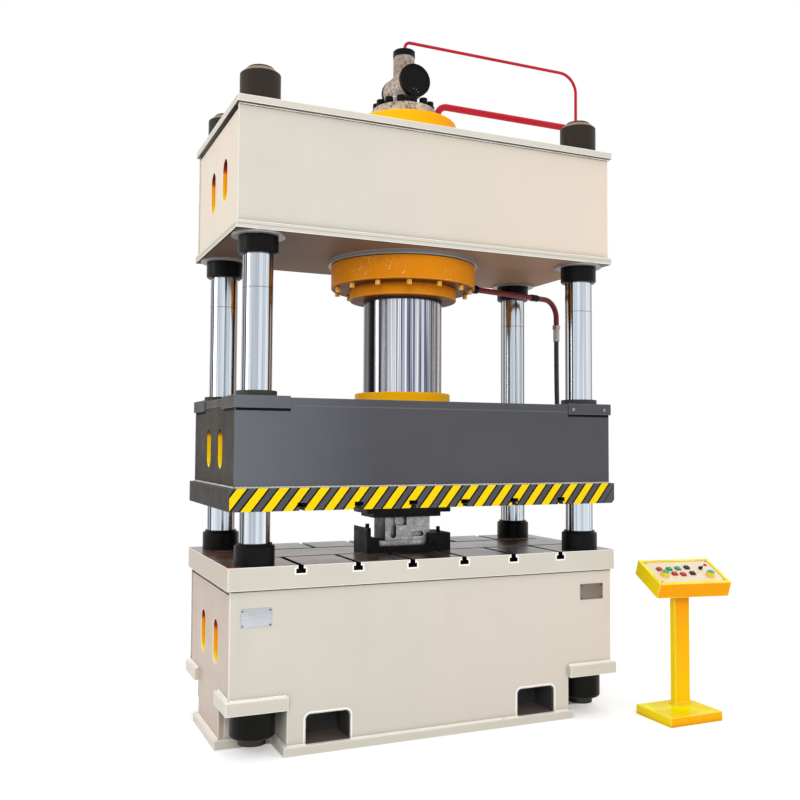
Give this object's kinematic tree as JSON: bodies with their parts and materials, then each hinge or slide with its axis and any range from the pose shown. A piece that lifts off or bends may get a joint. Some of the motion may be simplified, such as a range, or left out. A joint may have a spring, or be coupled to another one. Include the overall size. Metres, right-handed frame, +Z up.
{
  "type": "four-column hydraulic press",
  "caption": "Upright hydraulic press: welded bed and crown on chromed columns, a guided slide moved by a ram, a die set on the slotted table and a console on a stand.",
  "frame": {"origin": "on the floor under the middle of the bed", "axes": "+X to the right along the front, +Y to the back, +Z up; the front with the console looks along -Y"},
  "size_m": [2.7965, 1.3379, 3.827],
  "materials": {
    "cream_paint": "semi-gloss cream paint, a little dusty",
    "slide_paint": "dark grey paint",
    "table_steel": "machined, oiled and stained brown-black",
    "chrome": "ground and hard chromed",
    "black_steel": "black oxide, satin",
    "orange_paint": "orange paint",
    "primer": "orange primer inside the boxes",
    "pad_grey": "grey paint",
    "pocket_grey": "dark grey paint",
    "yellow_paint": "yellow paint",
    "valve_paint": "grey paint",
    "pipe_red": "red paint",
    "hose_black": "black rubber cover",
    "zinc": "bright zinc",
    "bronze": "bearing bronze",
    "seal_black": "black wiper rubber",
    "die_black": "black oiled steel",
    "die_grey": "ground tool steel",
    "stand_paint": "yellow paint",
    "panel_plate": "pale printed plate, plain",
    "red_plastic": "red",
    "green_plastic": "green",
    "black_plastic": "black",
    "teal_plastic": "blue-green",
    "yellow_plastic": "yellow"
  },
  "bodies": {
    "frame": {"bed_base_plate": "cream_paint", "bed_long_plates": "cream_paint", "bed_side_plates": "cream_paint", "bed_corner_walls": "cream_paint", "bed_corner_shelves": "cream_paint", "fork_pockets": "pocket_grey", "bed_table": "table_steel", "frame_inner_ribs": "primer", "columns": "chrome", "column_nuts": "black_steel", "upper_collars": "black_steel", "lower_collars": "black_steel", "crown_bottom_plate": "cream_paint", "crown_top_plate": "cream_paint", "crown_long_plates": "cream_paint", "crown_side_plates": "cream_paint", "crown_pads": "pad_grey", "cylinder_barrel": "orange_paint", "cylinder_gland": "orange_paint", "gland_bolts": "orange_paint", "cylinder_head": "yellow_paint", "valve_body": "valve_paint", "valve_covers": "black_steel", "valve_screws": "black_steel", "pilot_pipe": "pipe_red", "pressure_pipe": "pipe_red", "return_pipe": "pipe_red", "pipe_fittings": "black_steel", "pipe_brackets": "cream_paint", "return_hose": "hose_black", "hose_ferrules": "zinc", "lower_die_holder": "die_black", "lower_die_plate": "die_grey", "stand_pillar": "stand_paint", "stand_console": "stand_paint", "stand_panel": "panel_plate", "palm_button_guards": "yellow_plastic", "signal_lamp": "red_plastic"},
    "slide": {"slide_flange": "slide_paint", "slide_long_plates": "slide_paint", "slide_side_plates": "slide_paint", "slide_inner_ribs": "primer", "slide_top_plate": "slide_paint", "slide_corner_caps": "slide_paint", "guide_bushes": "bronze", "wiper_rings": "seal_black", "ram_rod": "chrome", "rod_flange": "yellow_paint", "upper_die_plates": "die_black", "upper_die_punch": "die_grey"},
    "red_button_left_body": {"red_button_left": "red_plastic"},
    "green_button_left_body": {"green_button_left": "green_plastic"},
    "green_button_right_body": {"green_button_right": "green_plastic"},
    "black_button_back_body": {"black_button_back": "black_plastic"},
    "red_button_middle_body": {"red_button_middle": "red_plastic"},
    "red_button_right_body": {"red_button_right": "red_plastic"},
    "black_button_front_body": {"black_button_front": "black_plastic"},
    "palm_button_left_body": {"palm_button_left": "teal_plastic"},
    "palm_button_right_body": {"palm_button_right": "teal_plastic"},
    "mode_switch_body": {"mode_switch": "black_plastic"}
  },
  "joints": [
    {"name": "ram_stroke", "type": "slide", "parent": "frame", "child": "slide", "axis": [0, 0, 1], "range_m": [0, 0.5]},
    {"name": "red_button_left_press", "type": "slide", "parent": "frame", "child": "red_button_left_body", "axis": [0.0665, 0.3769, -0.9239], "range_m": [0, 0.005], "stiffness_N_per_m": 500, "springref_m": -0.005},
    {"name": "green_button_left_press", "type": "slide", "parent": "frame", "child": "green_button_left_body", "axis": [0.0665, 0.3769, -0.9239], "range_m": [0, 0.005], "stiffness_N_per_m": 500, "springref_m": -0.005},
    {"name": "green_button_right_press", "type": "slide", "parent": "frame", "child": "green_button_right_body", "axis": [0.0665, 0.3769, -0.9239], "range_m": [0, 0.005], "stiffness_N_per_m": 500, "springref_m": -0.005},
    {"name": "black_button_back_press", "type": "slide", "parent": "frame", "child": "black_button_back_body", "axis": [0.0665, 0.3769, -0.9239], "range_m": [0, 0.005], "stiffness_N_per_m": 500, "springref_m": -0.005},
    {"name": "red_button_middle_press", "type": "slide", "parent": "frame", "child": "red_button_middle_body", "axis": [0.0665, 0.3769, -0.9239], "range_m": [0, 0.005], "stiffness_N_per_m": 500, "springref_m": -0.005},
    {"name": "red_button_right_press", "type": "slide", "parent": "frame", "child": "red_button_right_body", "axis": [0.0665, 0.3769, -0.9239], "range_m": [0, 0.005], "stiffness_N_per_m": 500, "springref_m": -0.005},
    {"name": "black_button_front_press", "type": "slide", "parent": "frame", "child": "black_button_front_body", "axis": [0.0665, 0.3769, -0.9239], "range_m": [0, 0.005], "stiffness_N_per_m": 500, "springref_m": -0.005},
    {"name": "palm_button_left_press", "type": "slide", "parent": "frame", "child": "palm_button_left_body", "axis": [0.0665, 0.3769, -0.9239], "range_m": [0, 0.006], "stiffness_N_per_m": 900, "springref_m": -0.006},
    {"name": "palm_button_right_press", "type": "slide", "parent": "frame", "child": "palm_button_right_body", "axis": [0.0665, 0.3769, -0.9239], "range_m": [0, 0.006], "stiffness_N_per_m": 900, "springref_m": -0.006},
    {"name": "mode_switch_turn", "type": "hinge", "parent": "frame", "child": "mode_switch_body", "pos_m": [1.56612, -0.65494, 0.79732], "axis": [-0.0665, -0.3769, 0.9239], "range_deg": [-45, 45]}
  ]
}
